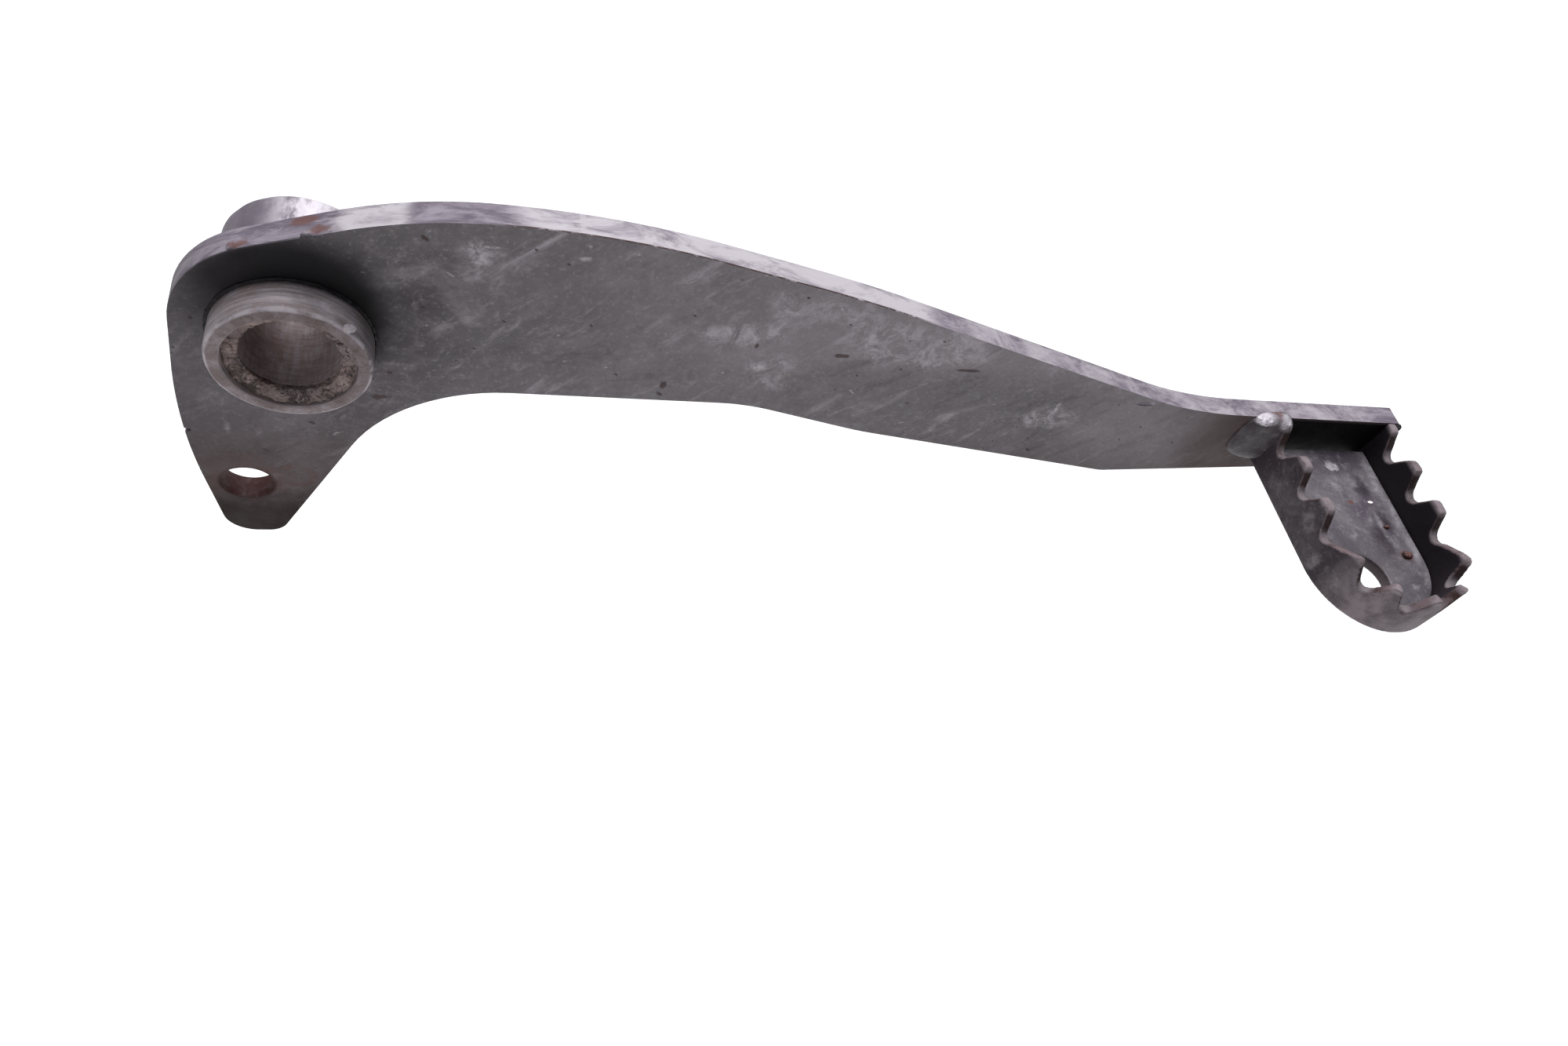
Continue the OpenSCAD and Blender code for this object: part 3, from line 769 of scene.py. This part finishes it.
def tread_steel(finish):
    """Dark paint on the strip, with pale patches, reddish cut edges, painted shade on its inner walls and
    painted shade on the flanks of the teeth that face down Y.
    """
    k = Layers("Tread steel")
    fine = k.noise(1300, 6, 0.7)
    grain = k.noise(360, 7, 0.7, 0.4)
    broad = k.noise(70, 6, 0.62, 0.7)
    k.ground(finish.tread, finish.paint_worn, k.ramp(broad, 0.42, 0.75, 0, 0.3))
    k.coat(finish.paint_worn, k.ramp(grain, 0.5, 0.78, 0, 0.35))
    k.coat(finish.steel, k.ramp(fine, 0.54, 0.76, 0, 0.2))
    low = k.both(k.rise(1, -38, -48), k.ramp(k.noise(160, 6, 0.65), 0.36, 0.6, 0.4))
    k.coat(k.mix(finish.cut_edge, finish.steel, 0.2), k.times(low, 0.85))
    pale = spots(k, PALE_CHIPS, 0.6, 420, 0.9)
    k.coat(finish.paint_worn, k.times(pale, k.ramp(grain, 0.4, 0.6, 0.1, 0.5)))
    k.coat(finish.tread, k.times(k.patch((211.7, -5, -21), (3, 8, 5), 0.4, 200, 1.0), 0.6))
    # Painted shade on the strip's inner walls, made lighter again where they face up
    nearer = k.tread_inside()
    k.coat(INNER_WALL_SHADE, k.times(nearer, 0.92))
    k.coat(finish.paint, k.both(nearer, k.times(k.facing(2, 0.1, 0.3), 0.6)))
    cut_face = k.facing(2, 0.12, 0.35)
    worn = k.mix(finish.rust_dark, finish.cut_edge, k.ramp(k.noise(230, 6, 0.65), 0.34, 0.56))
    # Painted shade on the cut flanks that face down Y
    shaded_flank = k.ramp(k.facing_away(1), 0.45, 0.75)
    worn = k.mix(worn, FLANK_SHADE, k.times(shaded_flank, 0.9))
    k.coat(worn, cut_face)
    tips = k.both(k.rise(2, -9.6, -8.5), k.ramp(grain, 0.36, 0.6, 0.4))
    k.coat(k.mix(finish.cut_edge, finish.steel, 0.35), k.times(tips, 0.7))
    valley = k.both(cut_face, k.rise(2, -11.8, -13))
    k.coat(finish.paint_worn, k.both(valley, k.ramp(grain, 0.36, 0.6, 0.15, 0.7)))
    height = k.plus(k.times(fine, 0.35), k.times(grain, 0.9))
    return k.done(k.ramp(grain, 0.3, 0.7, 0.48, 0.7), 0.0, k.bump(height, 0.14 * MM, 0.7))


def floor_steel(finish):
    """Light worn grey with scuffs, a paler band along its edge and dirt by the arm."""
    k = Layers("Floor steel")
    fine = k.noise(1300, 6, 0.7)
    grain = k.noise(330, 7, 0.7, 0.4)
    k.ground(finish.floor, finish.paint_worn, k.ramp(k.noise(90, 6, 0.62, 0.8), 0.4, 0.7, 0, 0.7))
    k.coat(finish.paint, k.ramp(k.noise(60, 6, 0.65, 0.9, shift=(2, 2, 0)), 0.52, 0.68, 0, 0.6))
    k.coat(finish.steel, k.ramp(grain, 0.5, 0.75, 0, 0.45))
    k.coat(finish.steel, k.ramp(fine, 0.54, 0.76, 0, 0.35))
    k.coat(finish.paint, k.ramp(k.plus(k.along(0), k.times(k.along(1), 0.4)), 224 * MM, 212 * MM, 0, 0.5))
    edge = k.ramp(k.along(0), FLOOR_EDGE - 4 * MM, FLOOR_EDGE - 1.5 * MM)
    k.coat(finish.steel, k.both(edge, k.ramp(grain, 0.35, 0.6, 0.15, 0.5)))
    dull = spots(k, DULL_PATCHES, 0.5, 200, 1.2)
    k.coat(finish.tread, k.times(dull, 0.75))
    scuffed = spots(k, SCUFFED_PATCHES, 0.7, 330, 0.9)
    k.coat(finish.steel, k.times(scuffed, k.ramp(grain, 0.4, 0.6, 0.05, 0.3)))
    flare = k.patch((231.2, -9.0, -17.5), (1.9, 1.1, 3), 1.0, 620, 0.7)
    k.coat(finish.steel, k.both(flare, k.ramp(fine, 0.35, 0.55, 0.5)))
    k.coat(WHITE_FLECK, k.patch((236.9, -19.5, -17.5), (0.8, 0.35, 2), 0.2, 500, 0.3))
    brown = spots(k, RUST_DOTS, 0.4, 500, 0.6)
    k.coat(finish.rust, k.times(brown, 0.85))
    mouth = k.ramp(k.facing_away(2), -0.9, -0.6)
    k.coat(finish.rust_dark, k.times(mouth, 0.55))
    height = k.plus(k.times(fine, 0.35), k.times(grain, 0.7))
    return k.done(k.ramp(grain, 0.3, 0.7, 0.36, 0.56), 0.2, k.bump(height, 0.13 * MM, 0.6))


class PedalOperator:
    """What every piece's operator shares: an undoable step that works on the open scene."""
    bl_options = {"REGISTER", "UNDO"}

    @property
    def finish(self):
        return bpy.context.scene.pedal_finish

    @property
    def wear(self):
        return bpy.context.scene.pedal_wear


class PEDAL_OT_arm(PedalOperator, Operator):
    """Wears the edges of the arm's plate and paints it"""
    bl_idname = "pedal.arm"
    bl_label = "Arm Plate"

    def execute(self, context):
        piece = copy_of("arm_plate", "worn_arm_plate")
        notch(piece, (-20.9, -1.6, -26.5), (1.5, 2.2, 0.55))
        notch(piece, (173, -3.2, -5.7), (2.6, 1.2, 0.8))
        round_edges(piece, self.wear.edge)
        smooth(piece)
        burr = crumb("burr", (4.4, -2.0, 22.2), (1.4, 0.6, 0.5), 0.2)
        scab = crumb("scab", (-6.6, -1.4, 17.9), (1.3, 0.8, 0.7), 0.2)
        piece = merge("worn_arm_plate", [piece, burr, scab])
        modify(piece, "WEIGHTED_NORMAL", keep_sharp=True)
        finish_piece(piece, arm_paint(self.finish), "arm_steel", "arm_plate")
        return {"FINISHED"}


class PEDAL_OT_boss(PedalOperator, Operator):
    """Turns the pivot boss with its bore and seats"""
    bl_idname = "pedal.boss"
    bl_label = "Pivot Boss"

    def execute(self, context):
        piece = copy_of("pivot_boss", "worn_pivot_boss")
        round_edges(piece, self.wear.rim_edge)
        self.dent_rims(piece)
        smooth(piece)
        burr = crumb("rim_burr", (9.7, BOSS_LOW.y / MM + 0.35, 9.4), (1.0, 0.5, 0.75), 0.25)
        piece = merge("worn_pivot_boss", [piece, burr])
        finish_piece(piece, boss_steel(self.finish), "boss_steel", "pivot_boss")
        return {"FINISHED"}

    def dent_rims(self, piece):
        """Presses shallow dents into the outer rims, never past the turned size."""
        def pressed(place):
            end = min(place.y - BOSS_LOW.y, BOSS_HIGH.y - place.y)
            away = math.hypot(place.x, place.z)
            if end > 0.8 * MM or away < SEAT_R + 0.3 * MM:
                return place
            deep = max(0, noise.noise(place * 260)) * self.wear.dent
            return Vector((place.x * (1 - deep / away), place.y, place.z * (1 - deep / away)))
        bend_to(piece, pressed)


class PEDAL_OT_dirt(PedalOperator, Operator):
    """Packs dry dirt into the outboard seal's seat"""
    bl_idname = "pedal.dirt"
    bl_label = "Packed Dirt"

    def execute(self, context):
        deep = self.wear.dirt_depth
        half = (SEAT_R - BORE_R) / 2
        deselect()
        bpy.ops.mesh.primitive_torus_add(major_radius=BORE_R + half, minor_radius=half, major_segments=360,
                                         minor_segments=32, rotation=(math.radians(90), 0, 0))
        piece = bpy.context.object
        piece.name = "packed_dirt"
        piece.data.name = "packed_dirt"
        settle(piece)

        def packed(place):
            turn = math.atan2(place.z, place.x)
            across = (math.hypot(place.x, place.z) - BORE_R - half) / half
            up = -place.y / half
            heap = 0.62 + 0.38 * math.cos(turn + 1.2)
            heap += 0.45 * noise.noise(Vector((math.cos(turn), math.sin(turn), 0.3)) * 3.5)
            heap = min(1.0, max(0.35, heap))
            slope = 0.4 + 0.3 * (across + 1)
            rise = math.copysign(abs(up) ** 0.12, up) * (deep * heap * slope if up > 0 else 0.2 * MM)
            across = math.copysign(abs(across) ** 0.5, across) * 0.97
            away = BORE_R + half + across * half
            return Vector((away * math.cos(turn), SEAT_FLOOR - rise, away * math.sin(turn)))

        bend_to(piece, packed)
        roughen(piece, 1.3 * MM, 0.6 * MM)
        roughen(piece, 0.45 * MM, 0.4 * MM)
        smooth(piece, 80)
        finish_piece(piece, packed_dirt(self.finish), "boss_steel")
        return {"FINISHED"}


class PEDAL_OT_tread(PedalOperator, Operator):
    """Wears the teeth of the tread's strip"""
    bl_idname = "pedal.tread"
    bl_label = "Tread Band"

    def execute(self, context):
        piece = copy_of("tread_band", "worn_tread_band")
        self.remake_skin(piece)
        finish_piece(piece, tread_steel(self.finish), "tread_steel", "tread_band")
        return {"FINISHED"}

    def remake_skin(self, piece):
        """Gives the strip an even skin, rounds its edges and batters its teeth."""
        modify(piece, "REMESH", mode="VOXEL", voxel_size=STRIP_VOXEL, adaptivity=0.0)
        modify(piece, "SMOOTH", factor=0.5, iterations=9)
        low, high = BAND_LOW.z, BAND_HIGH.z
        noise.seed_set(DENT_SEED)

        def battered(place):
            tip = max(0.0, (place.z - low) / (high - low) - 0.45)
            push = noise.noise_vector(place * 190) * self.wear.dent * 1.6 * tip
            across = min(BAND_HIGH.x, max(BAND_LOW.x, place.x + push.x * 0.6))
            return Vector((across, max(BAND_LOW.y, place.y + push.y * 1.6),
                           min(high, place.z + push.z * 1.2)))

        bend_to(piece, battered)
        smooth(piece, 60)


class PEDAL_OT_floor(PedalOperator, Operator):
    """Wears the tread's floor"""
    bl_idname = "pedal.floor"
    bl_label = "Tread Floor"

    def execute(self, context):
        piece = copy_of("tread_floor", "worn_tread_floor")
        round_edges(piece, self.wear.edge * 1.4)
        smooth(piece)
        bump = crumb("bump", (238.9, -34.7, -17.3), (1.3, 0.9, 0.8), 0.25)
        chip = crumb("chip", (237.5, -26.8, -17.4), (0.7, 0.45, 0.5), 0.15)
        piece = merge("worn_tread_floor", [piece, bump, chip])
        finish_piece(piece, floor_steel(self.finish), "floor_steel", "tread_floor")
        return {"FINISHED"}


class PEDAL_OT_welds(PedalOperator, Operator):
    """Lays the weld beads round the boss, beside the tread and under its floor"""
    bl_idname = "pedal.welds"
    bl_label = "Welds"

    def execute(self, context):
        material = weld_steel(self.finish)
        # The nearly black welds are dark weld joints with painted shade laid over them where they sit in
        # corners
        sooty_shaded = weld_steel(self.finish, "Sooty shaded weld steel", 0.95)
        for node in ("boss_weld_outboard", "boss_weld_inboard"):
            finish_piece(self.ring(node), sooty_shaded, "weld_steel", node)
        for node in ("tread_weld_tip", "floor_welds"):
            piece = copy_of(node, "worn_" + node)
            round_edges(piece, BEAD_EDGE)
            modify(piece, "REMESH", mode="VOXEL", voxel_size=BEAD_VOXEL, adaptivity=0.0)
            roughen(piece, 1.4 * MM, self.wear.bead_ripple * 0.8)
            bend_to(piece, lambda place: Vector((min(ARM_HIGH.x, place.x), place.y, place.z)))
            smooth(piece, 70)
            finish_piece(piece, sooty_shaded, "weld_steel", node)
        finish_piece(self.large_weld(), material, "weld_steel", "tread_weld_rear")
        return {"FINISHED"}

    def ring(self, node):
        """Thin irregular bead round the boss's root."""
        piece = copy_of(node, "worn_" + node)
        modify(piece, "REMESH", mode="VOXEL", voxel_size=RING_VOXEL, adaptivity=0.0)
        modify(piece, "SMOOTH", factor=0.5, iterations=4)
        roughen(piece, 1.6 * MM, self.wear.bead_ripple)
        smooth(piece, 70)
        return piece

    def large_weld(self):
        """Smooth blob in the corner of the arm and the leg, with a lumpy top and a small spike."""
        reach = self.wear.weld_reach
        middle = Vector((BAND_LOW.x + 0.1 * MM, FACE_OUT, BAND_LOW.z + 7.4 * MM))
        blob = lump("blob", middle, reach, self.wear.bead_ripple, 3.2)

        def trimmed(place):
            away = place.x - middle.x
            thick = 1.05 - 0.8 * min(1, max(0, -away / reach[0]))
            out = FACE_OUT + (place.y - FACE_OUT) * thick
            return Vector((middle.x + (away if away < 0 else away * 0.42), min(out, FACE_OUT + MM),
                           place.z))

        bend_to(blob, trimmed)
        left = crumb("left", (206.8, -3.4, -8.2), (2.1, 1.4, 0.9), 0.55)
        right = crumb("right", (212.2, -3.9, -8.3), (1.4, 1.6, 1.0), 0.5)
        spike = crumb("spike", (209.8, -2.4, -7.9), (0.5, 0.6, 1.0), 0.2)
        return merge("worn_tread_weld_rear", [blob, left, right, spike])


class PEDAL_OT_stage(PedalOperator, Operator):
    """Sets the floor, the soft lights and the camera"""
    bl_idname = "pedal.stage"
    bl_label = "Stage"

    def execute(self, context):
        stage = context.scene.pedal_stage
        self.add_floor(stage)
        self.add_sky(context.scene, stage)
        middle = (ARM_LOW + ARM_HIGH) / 2
        self.add_light("Top", middle + Vector(TOP_AWAY), middle, TOP_WIDTH, stage.top_power)
        self.add_light("Side", middle + Vector(SIDE_AWAY), middle, SIDE_WIDTH, stage.side_power)
        self.add_camera(context.scene, stage)
        return {"FINISHED"}

    def add_floor(self, stage):
        deselect()
        bpy.ops.mesh.primitive_plane_add(size=FLOOR_WIDTH, location=(0, 0, ARM_LOW.z - stage.floor_drop))
        floor = bpy.context.object
        floor.name = "stage_floor"
        settle(floor)
        k = Layers("Stage floor")
        k.ground(STAGE_GREY, STAGE_PALE, k.noise(4, 3))
        k.shader.inputs["Emission Color"].default_value = WHITE
        away = k.node("ShaderNodeVectorMath", operation="LENGTH")
        k.join(k.coords(stretch=(1, 1, 0)), away.inputs[0])
        k.feed(k.ramp(away.outputs["Value"], GLOW_FROM, GLOW_TO, stage.glow, FAR_GLOW),
               k.shader.inputs["Emission Strength"])
        floor.data.materials.append(k.done(0.9, 0.0, k.bump(k.noise(60, 3), 0.05 * MM, 0.1)))

    def add_sky(self, scene, stage):
        world = bpy.data.worlds.new("Studio")
        world.use_nodes = True
        tree = world.node_tree
        background = tree.nodes["Background"]
        background.inputs["Color"].default_value = WHITE
        seen = tree.nodes.new("ShaderNodeLightPath")
        strength = tree.nodes.new("ShaderNodeMapRange")
        strength.inputs["To Min"].default_value = stage.sky
        strength.inputs["To Max"].default_value = 1.0
        tree.links.new(seen.outputs["Is Camera Ray"], strength.inputs["Value"])
        tree.links.new(strength.outputs[0], background.inputs["Strength"])
        scene.world = world
        scene.view_settings.view_transform = "Standard"

    def add_light(self, name, place, target, size, power):
        light = bpy.data.lights.new(name, "AREA")
        light.size = size
        light.energy = power
        lamp = bpy.data.objects.new(name, light)
        lamp.location = place
        lamp.rotation_euler = (target - place).to_track_quat("-Z", "Y").to_euler()
        bpy.context.scene.collection.objects.link(lamp)

    def add_camera(self, scene, stage):
        lens = bpy.data.cameras.new("Camera")
        lens.sensor_width = SENSOR_WIDTH
        lens.lens = stage.lens
        lens.clip_start = CLOSEST
        camera = bpy.data.objects.new("Camera", lens)
        view = Vector(stage.camera_aim).to_track_quat("-Z", "Y").to_matrix()
        turn = (view @ Matrix.Rotation(stage.camera_roll, 3, "Z")).to_4x4()
        camera.matrix_world = Matrix.Translation(stage.camera_at) @ turn
        scene.collection.objects.link(camera)
        scene.camera = camera


class PEDAL_PT_panel(Panel):
    """Lists the pedal's pieces and their sizes"""
    bl_label = "Worn Brake Pedal"
    bl_idname = "PEDAL_PT_panel"
    bl_space_type = "VIEW_3D"
    bl_region_type = "UI"
    bl_category = "Pedal"

    def draw(self, context):
        layout = self.layout
        for step in STEPS:
            layout.operator(step.bl_idname)
        for group in (context.scene.pedal_finish, context.scene.pedal_wear, context.scene.pedal_stage):
            box = layout.box()
            for key in group.__annotations__:
                box.prop(group, key)


STEPS = (PEDAL_OT_arm, PEDAL_OT_boss, PEDAL_OT_dirt, PEDAL_OT_welds, PEDAL_OT_tread, PEDAL_OT_floor,
         PEDAL_OT_stage)
CLASSES = (PedalFinish, PedalWear, PedalStage, *STEPS, PEDAL_PT_panel)


def register():
    """Registers the classes and hangs the settings on the scene."""
    for item in CLASSES:
        bpy.utils.register_class(item)
    bpy.types.Scene.pedal_finish = PointerProperty(type=PedalFinish)
    bpy.types.Scene.pedal_wear = PointerProperty(type=PedalWear)
    bpy.types.Scene.pedal_stage = PointerProperty(type=PedalStage)


def unregister():
    """Takes the settings off the scene and removes the classes."""
    del bpy.types.Scene.pedal_finish
    del bpy.types.Scene.pedal_wear
    del bpy.types.Scene.pedal_stage
    for item in reversed(CLASSES):
        bpy.utils.unregister_class(item)


def main():
    """Builds every piece in order."""
    register()
    for step in STEPS:
        group, name = step.bl_idname.split(".")
        getattr(getattr(bpy.ops, group), name)()


if __name__ == "__main__":
    main()
